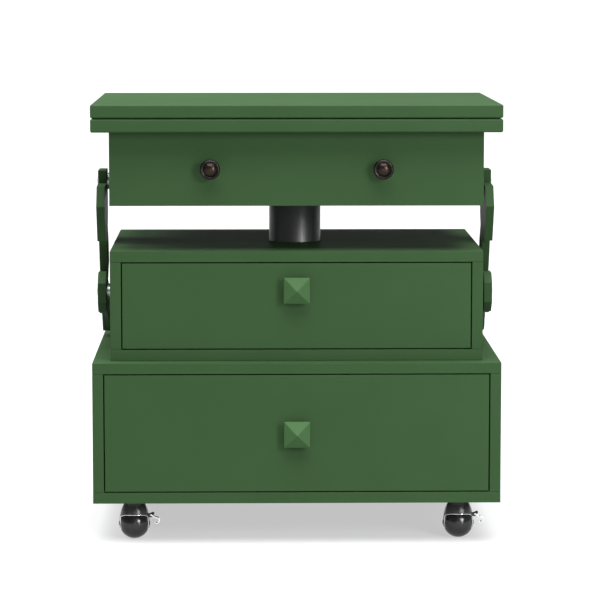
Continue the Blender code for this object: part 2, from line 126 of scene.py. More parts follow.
# Studio
FLOOR_TINT = (0.18, 0.18, 0.182)
FLOOR_GLOW = 0.52
FLOOR_RADIUS = 48
HORIZON_LIGHT = 1.0
WORLD_LIGHT = 0.16
WORLD_STRENGTH = 1.05
SUN_ENERGY = 11.6
SUN_ANGLE = 70
SUN_FROM = (0.06, -0.14, 1)
SOFTBOX_AIM = Vector((0, -0.1, 0.4))
SOFTBOXES = (  # name, place, width, height, watts
    ("key", (1.75, -2.75, 1.5), 0.9, 0.9, 84),
    ("strip", (1.70, -2.60, 0.55), 0.35, 0.9, 14),
    ("front_fill", (0.1, -3.1, 0.55), 1.0, 0.7, 4),
    ("left_fill", (-2.0, 0.1, 1.9), 1.0, 1.0, 56),
)


# ---------------------------------------------------------------- materials


def add(tree, kind, inputs=None, **settings):
    """Adds a shader node. Each input is a value, or another node's output socket."""
    made = tree.nodes.new(kind)
    for name, value in settings.items():
        setattr(made, name, value)
    for name, value in (inputs or {}).items():
        if isinstance(value, bpy.types.NodeSocket):
            tree.links.new(value, made.inputs[name])
        else:
            made.inputs[name].default_value = value
    return made


def material(name, slot, roughness, metallic=0.0, **sockets):
    """A Principled material, with its object coordinates ready for textures."""
    made = bpy.data.materials.new(name)
    made.use_nodes = True
    made["slot"] = slot
    tree = made.node_tree
    shader = tree.nodes["Principled BSDF"]
    shader.inputs["Roughness"].default_value = roughness
    shader.inputs["Metallic"].default_value = metallic
    for socket, value in sockets.items():
        shader.inputs[socket.replace("_", " ")].default_value = value
    place = add(tree, "ShaderNodeTexCoord").outputs["Object"]
    return made, tree, shader, place


def noise(tree, place, scale, detail=3.0, stretch=(1, 1, 1)):
    """Noise between about 0.3 and 0.7, optionally stretched along an axis."""
    if stretch != (1, 1, 1):
        place = add(tree, "ShaderNodeMapping", {"Vector": place, "Scale": stretch}).outputs[0]
    made = add(tree, "ShaderNodeTexNoise", {"Vector": place, "Scale": scale, "Detail": detail})
    return made.outputs[0]


def ramp(tree, factor, *stops):
    """A colour ramp of (position, colour) stops."""
    made = add(tree, "ShaderNodeValToRGB", {"Fac": factor})
    elements = made.color_ramp.elements
    while len(elements) < len(stops):
        elements.new(0.5)
    for element, (position, colour) in zip(elements, stops):
        element.position = position
        element.color = (*colour, 1)
    return made.outputs["Color"]


def spread(tree, factor, low, high, start=0.3, end=0.7):
    """Maps a factor's range to a range of values."""
    values = {"Value": factor, "From Min": start, "From Max": end, "To Min": low, "To Max": high}
    return add(tree, "ShaderNodeMapRange", values).outputs["Result"]


def math_node(tree, operation, first, second=0.0):
    """A maths node on two values, each a number or another node's output socket."""
    made = add(tree, "ShaderNodeMath", operation=operation)
    for socket, value in zip(made.inputs, (first, second)):
        if isinstance(value, bpy.types.NodeSocket):
            tree.links.new(value, socket)
        else:
            socket.default_value = value
    return made.outputs[0]


def bump(tree, shader, height, strength, depth):
    """Raises the surface by a height texture; depth is in metres."""
    values = {"Height": height, "Strength": strength, "Distance": depth}
    made = add(tree, "ShaderNodeBump", values)
    tree.links.new(made.outputs["Normal"], shader.inputs["Normal"])


def shaded(colour, factor):
    """A colour made lighter or darker."""
    return tuple(channel * factor for channel in colour)


def green_paint(name, lightness):
    """Sprayed satin lacquer: a little colour drift, and orange peel of about a millimetre."""
    # A lightness above 1 is painted light: a lighter copy of the same paint.
    colour = shaded(PAINT, lightness)
    made, tree, shader, place = material(name, "green_paint", 0.5)
    shader.inputs["Specular IOR Level"].default_value = 0.045
    drift = noise(tree, place, 5.0, 4.0)
    tint = ramp(tree, drift, (0.35, shaded(colour, 0.96)), (0.65, shaded(colour, 1.04)))
    tree.links.new(tint, shader.inputs["Base Color"])
    matt = spread(tree, noise(tree, place, 30.0, 2.0), 0.53, 0.55)
    tree.links.new(matt, shader.inputs["Roughness"])
    bump(tree, shader, noise(tree, place, 700.0, 2.0), 0.12, 0.15 * MM)
    return made


def birch(name, along, layered):
    """Birch plywood: long grain along X or Y, and the layers on its cut edges."""
    made, tree, shader, place = material(name, "birch_ply", 0.5)
    stretch = (0.07, 1, 1) if along == "X" else (1, 0.07, 1)
    grain = noise(tree, place, 90.0, 6.0, stretch)
    cloud = noise(tree, place, 9.0, 3.0, stretch)
    figure = math_node(tree, "ADD", math_node(tree, "MULTIPLY", grain, 0.6),
                       math_node(tree, "MULTIPLY", cloud, 0.4))
    wood = ramp(tree, figure, (0.36, (0.46, 0.30, 0.155)), (0.5, (0.62, 0.45, 0.26)),
                (0.66, (0.71, 0.55, 0.35)))
    if layered:
        axes = add(tree, "ShaderNodeSeparateXYZ", {"Vector": place})
        across = axes.outputs["Y" if along == "X" else "X"]
        turns = math_node(tree, "MULTIPLY", across, math.pi / (1.5 * MM))
        layer = spread(tree, math_node(tree, "SINE", turns), 0, 1, -0.25, 0.25)
        edge = ramp(tree, layer, (0.0, (0.30, 0.18, 0.09)), (1.0, (0.66, 0.50, 0.31)))
        faces = add(tree, "ShaderNodeSeparateXYZ",
                    {"Vector": tree.nodes["Texture Coordinate"].outputs["Normal"]})
        top = math_node(tree, "GREATER_THAN", math_node(tree, "ABSOLUTE", faces.outputs["Z"]), 0.6)
        mix = add(tree, "ShaderNodeMixRGB", {"Fac": top, "Color1": wood, "Color2": edge})
        wood = mix.outputs[0]
    tree.links.new(wood, shader.inputs["Base Color"])
    tree.links.new(spread(tree, grain, 0.44, 0.60), shader.inputs["Roughness"])
    bump(tree, shader, grain, 0.25, 0.2 * MM)
    return made


def powder_coat():
    """Satin black powder coat, with a fine even grain."""
    made, tree, shader, place = material("black_steel", "black_steel", 0.42, 0.0)
    grain = noise(tree, place, 1400.0, 2.0)
    tint = ramp(tree, grain, (0.3, (0.006, 0.006, 0.007)), (0.7, (0.013, 0.013, 0.014)))
    tree.links.new(tint, shader.inputs["Base Color"])
    tree.links.new(spread(tree, noise(tree, place, 30.0), 0.34, 0.44), shader.inputs["Roughness"])
    bump(tree, shader, grain, 0.2, 0.1 * MM)
    return made


def bronze(radius):
    """Oil-rubbed bronze: dark in the groove, rubbed brighter on the crown and the bead."""
    made, tree, shader, place = material("dark_bronze", "dark_bronze", 0.3, 0.9)
    axes = add(tree, "ShaderNodeSeparateXYZ", {"Vector": place})
    square = [math_node(tree, "POWER", axes.outputs[axis], 2.0) for axis in "XZ"]
    reach = math_node(tree, "SQRT", math_node(tree, "ADD", *square))
    mottle = spread(tree, noise(tree, place, 260.0, 4.0), -0.02, 0.02)
    reach = math_node(tree, "ADD", math_node(tree, "DIVIDE", reach, radius), mottle)
    tint = ramp(tree, reach, (0.0, (0.027, 0.018, 0.013)), (0.42, (0.022, 0.015, 0.011)),
                (0.60, (0.010, 0.008, 0.007)), (0.72, (0.004, 0.003, 0.003)),
                (0.88, (0.024, 0.019, 0.018)), (1.0, (0.006, 0.005, 0.005)))
    tree.links.new(tint, shader.inputs["Base Color"])
    tree.links.new(spread(tree, noise(tree, place, 500.0), 0.24, 0.38), shader.inputs["Roughness"])
    bump(tree, shader, noise(tree, place, 900.0, 3.0), 0.15, 0.1 * MM)
    return made


def chrome():
    """Bright chrome with faint handling marks."""
    made, tree, shader, place = material("chrome", "chrome", 0.1, 1.0)
    marks = noise(tree, place, 300.0, 5.0, (1, 1, 0.3))
    tint = ramp(tree, marks, (0.3, (0.72, 0.72, 0.73)), (0.6, (0.84, 0.84, 0.85)))
    tree.links.new(tint, shader.inputs["Base Color"])
    tree.links.new(spread(tree, marks, 0.05, 0.16), shader.inputs["Roughness"])
    bump(tree, shader, marks, 0.05, 0.05 * MM)
    return made


def zinc():
    """Zinc-plated steel, with a crystalline bloom and fine draw lines."""
    made, tree, shader, place = material("zinc_steel", "zinc_steel", 0.35, 1.0)
    crystals = add(tree, "ShaderNodeTexVoronoi", {"Vector": place, "Scale": 240.0})
    tint = ramp(tree, crystals.outputs["Distance"], (0.0, (0.62, 0.63, 0.65)),
                (0.6, (0.46, 0.47, 0.48)))
    tree.links.new(tint, shader.inputs["Base Color"])
    lines = noise(tree, place, 600.0, 4.0, (1, 0.05, 1))
    tree.links.new(spread(tree, lines, 0.28, 0.44), shader.inputs["Roughness"])
    bump(tree, shader, lines, 0.12, 0.05 * MM)
    return made


def moulded_black(name, low, high, matt):
    """Moulded black nylon: low and high are its darkest and lightest greys."""
    made, tree, shader, place = material(name, name, matt)
    shader.inputs["Specular IOR Level"].default_value = 0.4
    scuffs = noise(tree, place, 160.0, 6.0, (1, 1, 0.4))
    tint = ramp(tree, scuffs, (0.35, (low, low, low)), (0.75, (high, high, high)))
    tree.links.new(tint, shader.inputs["Base Color"])
    tree.links.new(spread(tree, scuffs, matt - 0.06, matt + 0.10), shader.inputs["Roughness"])
    bump(tree, shader, noise(tree, place, 1200.0, 2.0), 0.1, 0.08 * MM)
    return made


def pale_floor():
    """A pale translucent sheet, lit from below as well as from above, as on a product table."""
    made, tree, shader, place = material("pale_floor", "", 0.7)
    cloud = noise(tree, place, 3.0, 4.0)
    tint = ramp(tree, cloud, (0.3, shaded(FLOOR_TINT, 0.98)), (0.7, shaded(FLOOR_TINT, 1.02)))
    tree.links.new(tint, shader.inputs["Base Color"])
    shader.inputs["Emission Color"].default_value = (1, 1, 1, 1)
    shader.inputs["Emission Strength"].default_value = FLOOR_GLOW
    shader.inputs["Specular IOR Level"].default_value = 0.2
    return made


knob_low, knob_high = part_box("top_drawer_left_knob")
KNOB_RADIUS = (knob_high.x - knob_low.x) / 2
GREEN = green_paint("green_paint", 1.0)
# Painted light: a lighter copy of the green paint, for the knobs.
KNOB_GREEN_PAINTED_LIGHT = green_paint("knob_green_painted_light", KNOB_PAINTED_LIGHT)
BIRCH_ALONG_X = birch("birch_along_x", "X", True)
BIRCH_ALONG_Y = birch("birch_along_y", "Y", True)
BIRCH_PANEL = birch("birch_panel", "X", False)
BLACK = powder_coat()
BRONZE = bronze(KNOB_RADIUS)
CHROME = chrome()
ZINC = zinc()
HOOD_BLACK = moulded_black("hood_black", 0.018, 0.028, 0.26)
BALL_BLACK = moulded_black("ball_black", 0.008, 0.013, 0.18)


# ---------------------------------------------------------------- mesh tools


def finished(name, bm, finish, body, at=(0, 0, 0), nodes=(), sharp=35):
    """Turns a bmesh into a piece that rides on a body, and may stand for CAD nodes."""
    bmesh.ops.recalc_face_normals(bm, faces=bm.faces)
    mesh = bpy.data.meshes.new(name)
    bm.to_mesh(mesh)
    bm.free()
    mesh.materials.append(finish)
    mesh.shade_smooth()
    mesh.set_sharp_from_angle(angle=math.radians(sharp))
    made = bpy.data.objects.new(name, mesh)
    bpy.context.scene.collection.objects.link(made)
    made.location = at
    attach(made, body)
    if nodes:
        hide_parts(*nodes)
    return made


def body_of(node):
    """The body that a CAD node rides on."""
    return frame["nodes"][node]["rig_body"]


def refinish(node, finish):
    """Gives a CAD node that stays visible a better material."""
    for slot in frame["nodes"][node].material_slots:
        slot.material = finish


def box_mesh(size):
    """A box of a size, round its own middle."""
    bm = bmesh.new()
    bmesh.ops.create_cube(bm, size=1)
    bmesh.ops.scale(bm, vec=size, verts=bm.verts)
    return bm


def round_edges(bm, ease, segments=3, least=0.0):
    """Rounds the edges whose faces meet at more than an angle, in degrees."""
    edges = [e for e in bm.edges if e.is_manifold and e.calc_face_angle() > math.radians(least)]
    bmesh.ops.bevel(bm, geom=edges, offset=ease, segments=segments, profile=0.5, affect="EDGES",
                    clamp_overlap=True)


def flatten(made):
    """Keeps wide faces flat where smooth shading meets rounded edges."""
    weighted = made.modifiers.new("flat faces", "WEIGHTED_NORMAL")
    weighted.keep_sharp = True
    return made


def board(name, low, high, finish, body, ease=BOARD_EASE, nodes=(), segments=3):
    """A board between two corners, with rounded edges."""
    low, high = Vector(low), Vector(high)
    bm = box_mesh(high - low)
    round_edges(bm, ease, segments)
    return flatten(finished(name, bm, finish, body, (low + high) / 2, nodes))


def board_for(node, finish, ease=BOARD_EASE, segments=3):
    """A finer board in place of a CAD board."""
    low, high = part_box(node)
    return board(f"{node}_board", low, high, finish, body_of(node), ease, (node,), segments)


def circle(_angle):
    """The reach of a unit circle at an angle."""
    return 1.0


def hexagon(angle):
    """The reach of a hexagon round a unit circle."""
    return 1 / math.cos((angle + math.pi / 6) % (math.pi / 3) - math.pi / 6)


def cross(angle):
    """The reach of a cross-shaped screw recess."""
    return 0.36 + 0.64 * abs(math.cos(2 * angle)) ** 4


TURNS = {
    "X": Matrix.Rotation(math.pi / 2, 4, "Y"),
    "-X": Matrix.Rotation(-math.pi / 2, 4, "Y"),
    "Y": Matrix.Rotation(-math.pi / 2, 4, "X"),
    "-Y": Matrix.Rotation(math.pi / 2, 4, "X"),
    "Z": Matrix.Identity(4),
    "-Z": Matrix.Rotation(math.pi, 4, "X"),
}


def turned(profile, segments=64, axis="Z", closed=False, into=None, at=(0, 0, 0)):
    """A turned shape from (radius, height) or (radius, height, shape) points, along an axis."""
    bm = into or bmesh.new()
    rings, made = [], []
    for radius, height, *shape in profile:
        form = shape[0] if shape else circle
        steps = segments if radius else 1
        ring = []
        for step in range(steps):
            angle = 2 * math.pi * step / segments
            reach = radius * form(angle)
            ring.append(bm.verts.new((reach * math.cos(angle), reach * math.sin(angle), height)))
        rings.append(ring)
        made += ring
    pairs = list(zip(rings, rings[1:]))
    if closed:
        pairs.append((rings[-1], rings[0]))
    for first, second in pairs:
        for step in range(segments):
            after = (step + 1) % segments
            corners = [
                first[step % len(first)], first[after % len(first)],
                second[after % len(second)], second[step % len(second)],
            ]
            bm.faces.new(list(dict.fromkeys(corners)))
    bmesh.ops.transform(bm, matrix=Matrix.Translation(at) @ TURNS[axis], verts=made)
    return bm


def smooth_through(points, steps=6):
    """A Catmull-Rom curve through points, open at its ends."""
    points = [Vector(p) for p in points]
    padded = [points[0], *points, points[-1]]
    curve = []
    for a, b, c, d in zip(padded, padded[1:], padded[2:], padded[3:]):
        for step in range(steps):
            t = step / steps
            curve.append(0.5 * (2 * b + (c - a) * t + (2 * a - 5 * b + 4 * c - d) * t ** 2
                                + (3 * b - a - 3 * c + d) * t ** 3))
    return curve + [points[-1]]


def prism(outline, start, end, axis):
    """An outline extruded along an axis. Its points are in the other two, in X, Y, Z order."""
    bm = bmesh.new()
    rings = []
    for place in (start, end):
        at = {"X": lambda a, b: (place, a, b), "Y": lambda a, b: (a, place, b),
              "Z": lambda a, b: (a, b, place)}[axis]
        rings.append([bm.verts.new(at(a, b)) for a, b in outline])
    bm.faces.new(rings[0])
    bm.faces.new(reversed(rings[1]))
    for step in range(len(outline)):
        after = (step + 1) % len(outline)
        bm.faces.new((rings[0][step], rings[0][after], rings[1][after], rings[1][step]))
    return bm


def rounded_square(half, radius, steps=6):
    """A square's outline with round corners."""
    outline = []
    for corner in range(4):
        turn = math.pi / 2 * corner
        x, y = math.cos(turn + math.pi / 4), math.sin(turn + math.pi / 4)
        inner = (half - radius) * math.sqrt(2)
        for step in range(steps + 1):
            angle = turn + math.pi / 2 * step / steps
            outline.append((inner * x + radius * math.cos(angle),
                            inner * y + radius * math.sin(angle)))
    return outline


def tube(name, path, radius, finish, body, cyclic=False, at=(0, 0, 0)):
    """A round rod along a path."""
    data = bpy.data.curves.new(name, "CURVE")
    data.dimensions = "3D"
    data.bevel_depth = radius
    data.bevel_resolution = 4
    data.use_fill_caps = not cyclic
    spline = data.splines.new("POLY")
    spline.points.add(len(path) - 1)
    for point, place in zip(spline.points, path):
        point.co = (*place, 1)
    spline.use_cyclic_u = cyclic
    spline.use_smooth = True
    data.materials.append(finish)
    made = bpy.data.objects.new(name, data)
    bpy.context.scene.collection.objects.link(made)
    made.location = at
    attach(made, body)
    return made


def screws(name, places, axis, body, head=SCREW_HEAD):
    """Pan-head cross screws, in one mesh, with their heads standing along an axis."""
    profile = [
        (0, -0.2 * MM), (head, -0.2 * MM), (head, 0.15 * MM), (head * 0.94, 0.42 * MM),
        (head * 0.80, 0.66 * MM), (head * 0.60, 0.80 * MM), (head * 0.56, 0.82 * MM, cross),
        (head * 0.40, 0.15 * MM, cross), (0, 0.1 * MM),
    ]
    bm = bmesh.new()
    for place in places:
        turned(profile, 40, axis, into=bm, at=place)
    finished(name, bm, ZINC, body)


# ---------------------------------------------------------------- cabinets and case


def cabinets():
    """The painted boards of both cabinets and of the case that rises."""
    for prefix in ("lower", "middle"):
        for part in ("bottom_panel", "left_side", "right_side", "back_panel", "drawer_front"):
            board_for(f"{prefix}_{part}", GREEN)
    board_for("lower_top_panel", GREEN)
    for part in ("left_side", "right_side", "floor", "back_panel"):
        board_for(f"case_{part}", GREEN)
    board_for("top_drawer_front", GREEN)
    board_for("fixed_leaf", GREEN, LEAF_EASE, 6)
    board_for("folding_leaf", GREEN, LEAF_EASE, 6)


def holed_panel():
    """The middle cabinet's top: a board with a round hole for the column."""
    node = "middle_top_panel"
    low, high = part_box(node)
    column_low, column_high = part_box("column_tube")
    middle = (column_low + column_high) / 2
    steps = 24
    hole = COLUMN_RADIUS + 0.6 * MM
    half_x = (high.x - low.x) / 2
    front, rear = low.y - middle.y, high.y - middle.y
    outer, inner = [], []
    corners = [(half_x, front), (half_x, rear), (-half_x, rear), (-half_x, front)]
    for (x0, y0), (x1, y1) in zip(corners, corners[1:] + corners[:1]):
        for step in range(steps):
            t = step / steps
            x, y = x0 + (x1 - x0) * t, y0 + (y1 - y0) * t
            outer.append((x, y))
            reach = math.hypot(x, y)
            inner.append((x / reach * hole, y / reach * hole))
    bm = bmesh.new()
    rings = []
    for outline, z in ((inner, low.z), (outer, low.z), (outer, high.z), (inner, high.z)):
        rings.append([bm.verts.new((x, y, z - low.z)) for x, y in outline])
    for first, second in zip(rings, rings[1:] + rings[:1]):
        for step in range(len(first)):
            after = (step + 1) % len(first)
            bm.faces.new((first[step], first[after], second[after], second[step]))
    bmesh.ops.recalc_face_normals(bm, faces=bm.faces)
    round_edges(bm, BOARD_EASE, 3, 60)
    at = (middle.x, middle.y, low.z)
    flatten(finished(f"{node}_board", bm, GREEN, body_of(node), at, (node,)))


def tray(node, notch=0.0, notch_front=0.0):
    """A drawer tray of plywood walls round a thin bottom. A notch in its rear clears the column."""
    low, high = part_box(node)
    body = body_of(node)
    wall = TRAY_WALL
    walls = [
        ("left", "Y", (low.x, low.y), (low.x + wall, high.y)),
        ("right", "Y", (high.x - wall, low.y), (high.x, high.y)),
        ("front", "X", (low.x + wall, low.y), (high.x - wall, low.y + wall)),
    ]
    if notch:
        inner = notch + wall
        walls += [
            ("rear_left", "X", (low.x + wall, high.y - wall), (-inner, high.y)),
            ("rear_right", "X", (inner, high.y - wall), (high.x - wall, high.y)),
            ("notch_left", "Y", (-inner, notch_front - wall), (-notch, high.y)),
            ("notch_right", "Y", (notch, notch_front - wall), (inner, high.y)),
            ("notch_front", "X", (-notch, notch_front - wall), (notch, notch_front)),
        ]
    else:
        walls.append(("rear", "X", (low.x + wall, high.y - wall), (high.x - wall, high.y)))
    for number, (label, along, start, end) in enumerate(walls):
        finish = BIRCH_ALONG_X if along == "X" else BIRCH_ALONG_Y
        stands_for = (node,) if number == 0 else ()
        board(f"{node}_{label}_wall", (*start, low.z), (*end, high.z), finish, body,
              TRAY_EASE, stands_for, 2)
    clear = 0.4 * MM
    top = low.z + TRAY_FLOOR
    left, right = low.x + wall + clear, high.x - wall - clear
    front, back = low.y + wall + clear, high.y - wall - clear
    rear = notch_front - wall - clear if notch else back
    floors = [("floor", (left, front), (right, rear))]
    if notch:
        beside = notch + wall + clear
        floors += [
            ("floor_left", (left, rear), (-beside, back)),
            ("floor_right", (beside, rear), (right, back)),
        ]
    for label, start, end in floors:
        board(f"{node}_{label}", (*start, low.z + clear), (*end, top), BIRCH_PANEL, body, 0.3 * MM)


def slide_members(prefix):
    """The inner bars of the drawer slides, which travel with the drawer, with their screws."""
    tray_low, tray_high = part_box(f"{prefix}_drawer_tray")
    body = f"{prefix}_drawer"
    bar_half, bar_thick, skin_gap = 9 * MM, 7 * MM, 0.4 * MM
    for label, side in SIDES:
        node = f"{prefix}_{label}_runner"
        low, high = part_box(node)
        z = (low.z + high.z) / 2
        tray_side = tray_high.x if side > 0 else tray_low.x
        bar_start = tray_side + side * skin_gap
        near, far = sorted((bar_start, bar_start + side * bar_thick))
        board(f"{prefix}_{label}_slide_bar", (near, low.y, z - bar_half),
              (far, high.y, z + bar_half), ZINC, body, 0.8 * MM)
        wall = high.x if side > 0 else low.x
        face = wall - side * 2 * MM
        reach = high.y - low.y
        places = [(face, low.y + reach * t, z) for t in (0.08, 0.5, 0.92)]
        screws(f"{prefix}_{label}_runner_screws", places, "-X" if side > 0 else "X", "base")
        refinish(node, ZINC)


def hinges():
    """Butt hinges on the rear edges of the leaves, with their screws."""
    for label, _side in SIDES:
        for half, sign in (("lower", -1), ("upper", 1)):
            node = f"{label}_hinge_{half}"
            low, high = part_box(node)
            refinish(node, ZINC)
            x = (low.x + high.x) / 2
            inset, pitch = 6.5 * MM, 13 * MM
            z = low.z + inset if sign < 0 else high.z - inset
            rear_face = low.y + 1.5 * MM
            places = [(x + dx, rear_face, z) for dx in (-pitch, 0, pitch)]
            screws(f"{label}_hinge_{half}_screws", places, "Y", body_of(node))


# ---------------------------------------------------------------- knobs and column


def pyramid_knobs():
    """Square knobs: a neck, a thin slab and a low pyramid."""
    for prefix in ("lower", "middle"):
        node = f"{prefix}_drawer_knob"
        low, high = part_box(node)
        half, deep = (high.x - low.x) / 2, high.y - low.y
        profile = [
            (0, 0), (half * 0.50, 0), (half * 0.44, deep * 0.33), (half, deep * 0.42),
            (half, deep * 0.54), (0, deep),
        ]
        bm = bmesh.new()
        rings = []
        for reach, height in profile:
            signs = ((1, 1), (-1, 1), (-1, -1), (1, -1)) if reach else ((0, 0),)
            rings.append([bm.verts.new((reach * a, reach * b, height)) for a, b in signs])
        for first, second in zip(rings, rings[1:]):
            for step in range(4):
                after = (step + 1) % 4
                corners = [first[step % len(first)], first[after % len(first)],
                           second[after % len(second)], second[step % len(second)]]
                bm.faces.new(list(dict.fromkeys(corners)))
        bmesh.ops.recalc_face_normals(bm, faces=bm.faces)
        round_edges(bm, 0.6 * MM, 3, 15)
        bmesh.ops.transform(bm, matrix=TURNS["-Y"], verts=bm.verts)
        at = ((low.x + high.x) / 2, high.y, (low.z + high.z) / 2)
        flatten(finished(f"{prefix}_pyramid_knob", bm, KNOB_GREEN_PAINTED_LIGHT, body_of(node), at, (node,), 20))


def round_knobs():
    """Turned bronze knobs: a foot, a waist, a beaded rim and a crown inside a groove."""
    for label, _side in SIDES:
        node = f"top_drawer_{label}_knob"
        low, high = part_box(node)
        r, deep = KNOB_RADIUS, high.y - low.y
        outline = [
            (0.60, 0.00), (0.61, 0.06), (0.44, 0.16), (0.38, 0.30), (0.44, 0.45), (0.72, 0.58),
            (0.95, 0.66), (1.00, 0.73), (0.95, 0.80), (0.86, 0.845), (0.77, 0.835), (0.70, 0.815),
            (0.64, 0.845), (0.54, 0.905), (0.36, 0.965), (0.18, 0.992),
        ]
        curve = smooth_through([(a, b, 0) for a, b in outline], 4)
        profile = [(0, 0)] + [(min(p.x, 1) * r, p.y * deep) for p in curve] + [(0, deep)]
        bm = turned(profile, 72, "-Y")
        at = ((low.x + high.x) / 2, high.y, (low.z + high.z) / 2)
        finished(f"top_drawer_{label}_round_knob", bm, BRONZE, body_of(node), at, (node,), 60)


def column():
    """The black tube, and the slider inside it that carries the case."""
    low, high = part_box("column_tube")
    middle = (low + high) / 2
    lip = 0.8 * MM
    foot, top = low.z, high.z
    flange = (high.x - low.x) / 2
    profile = [
        (COLUMN_BORE, foot), (flange - lip, foot), (flange, foot + lip),
        (flange, foot + FLANGE_THICK - lip), (flange - lip, foot + FLANGE_THICK),
        (COLUMN_RADIUS + lip, foot + FLANGE_THICK), (COLUMN_RADIUS, foot + FLANGE_THICK + lip),
        (COLUMN_RADIUS, top - lip), (COLUMN_RADIUS - 0.3 * lip, top - 0.3 * lip),
        (COLUMN_RADIUS - lip, top), (COLUMN_BORE + lip, top), (COLUMN_BORE, top - lip),
    ]
    bm = turned(profile, 128, closed=True)
    at = (middle.x, middle.y, 0)
    finished("column_outer_tube", bm, BLACK, "base", at, ("column_tube",))
    low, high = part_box("column_slider")
    flange = (high.x - low.x) / 2
    flange_low, end = high.z - 5.7 * MM, low.z
    profile = [
        (0, high.z), (flange - lip, high.z), (flange, high.z - lip), (flange, flange_low + lip),
        (flange - lip, flange_low), (SLIDER_RADIUS + lip, flange_low),
        (SLIDER_RADIUS, flange_low - lip), (SLIDER_RADIUS, end + lip), (SLIDER_RADIUS - lip, end),
        (SLIDER_RADIUS - 4 * lip, end), (SLIDER_RADIUS - 5 * lip, end + lip),
        (SLIDER_RADIUS - 5 * lip, flange_low), (0, flange_low),
    ]
    bm = turned(profile, 128)
    finished("column_inner_tube", bm, BLACK, "top_unit", at, ("column_slider",))
    bolt_circle = flange - 9 * MM
    places = []
    for step in range(6):
        angle = math.radians(30 + 60 * step)
        places.append((middle.x + bolt_circle * math.cos(angle),
                       middle.y + bolt_circle * math.sin(angle), flange_low))
    screws("column_flange_screws", places, "-Z", "top_unit", head=FLANGE_SCREW)


# ---------------------------------------------------------------- side arms


def arms():
    """The cranked side arms, with rounded edges, and their shoulder bolts."""
    for label, side in SIDES:
        for part in ("upper", "lower"):
            node = f"{label}_{part}_arm"
            bm = bmesh.new()
            bm.from_mesh(frame["nodes"][node].data)
            bmesh.ops.remove_doubles(bm, verts=bm.verts, dist=1e-6)
            flat = math.radians(0.5)
            bmesh.ops.dissolve_limit(bm, angle_limit=flat, verts=bm.verts, edges=bm.edges)
            round_edges(bm, 0.9 * MM, 3, 50)
            flatten(finished(f"{node}_eased", bm, GREEN, body_of(node), nodes=(node,), sharp=40))
        arm_low, arm_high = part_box(f"{label}_lower_arm")
        inside = min(abs(arm_low.x), abs(arm_high.x))
        for part, collar in (
            ("lower_pivot", PIVOT_COLLAR), ("knee", KNEE_COLLAR), ("upper_pivot", PIVOT_COLLAR),
        ):
            shoulder_bolt(f"{label}_{part}_bolt", side, collar, inside)


def shoulder_bolt(node, side, collar, arm_inside):
    """A collar, a shank and a domed head with a hexagon socket."""
    low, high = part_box(node)
    start, end = sorted((abs(low.x), abs(high.x)))
    lip = 0.5 * MM
    behind = arm_inside - 0.3 * MM
    crown = end - 2.5 * MM
    profile = [
        (0, start), (collar - lip, start), (collar, start + lip), (collar, behind - lip),
        (collar - lip, behind), (BOLT_RADIUS, behind), (BOLT_RADIUS, crown),
        (BOLT_HEAD - 0.3 * MM, crown), (BOLT_HEAD, crown + 0.3 * MM),
        (BOLT_HEAD * 0.96, crown + 0.9 * MM), (BOLT_HEAD * 0.80, crown + 1.7 * MM),
        (BOLT_HEAD * 0.58, crown + 2.3 * MM), (BOLT_HEAD * 0.45, crown + 2.5 * MM),
        (BOLT_HEAD * 0.30, crown + 2.45 * MM, hexagon),
        (BOLT_HEAD * 0.29, crown + 0.4 * MM, hexagon), (0, crown + 0.3 * MM),
    ]
    bm = turned(profile, 60, "X" if side > 0 else "-X")
    middle = (low + high) / 2
    finished(f"{node}_turned", bm, ZINC, body_of(node), (0, middle.y, middle.z), (node,), 30)


# ---------------------------------------------------------------- casters


def hood_radius(height):
    """The hood's outer radius at a height: a dome that widens to the cheeks beside the ball."""
    stops = [  # height and radius, in millimetres
        (18, 25.0), (32, 25.0), (37, 24.4), (43, 23.3), (49, 21.8), (54, 20.0), (58, 18.0),
        (61.5, 15.6), (64, 13.0), (65.5, 9.5),
    ]
    for (z0, r0), (z1, r1) in zip(stops, stops[1:]):
        if height <= z1 * MM:
            return (r0 + (r1 - r0) * (height / MM - z0) / (z1 - z0)) * MM
    return stops[-1][1] * MM


def rim_height(angle):
    """The hood's lower edge: level in front and behind, sweeping down to a cheek at each side.

    CHEEK_START and CHEEK_WIDE say where the cheek begins and how far its edge runs, as cosines.
    """
    sideways = abs(math.cos(angle))
    cheek = min(max((sideways - CHEEK_START) / CHEEK_WIDE, 0), 1)
    cheek = cheek * cheek * (3 - 2 * cheek)
    level = HOOD_RIM - RIM_DIP * sideways ** 5
    return level + (CHEEK_TIP - level) * cheek


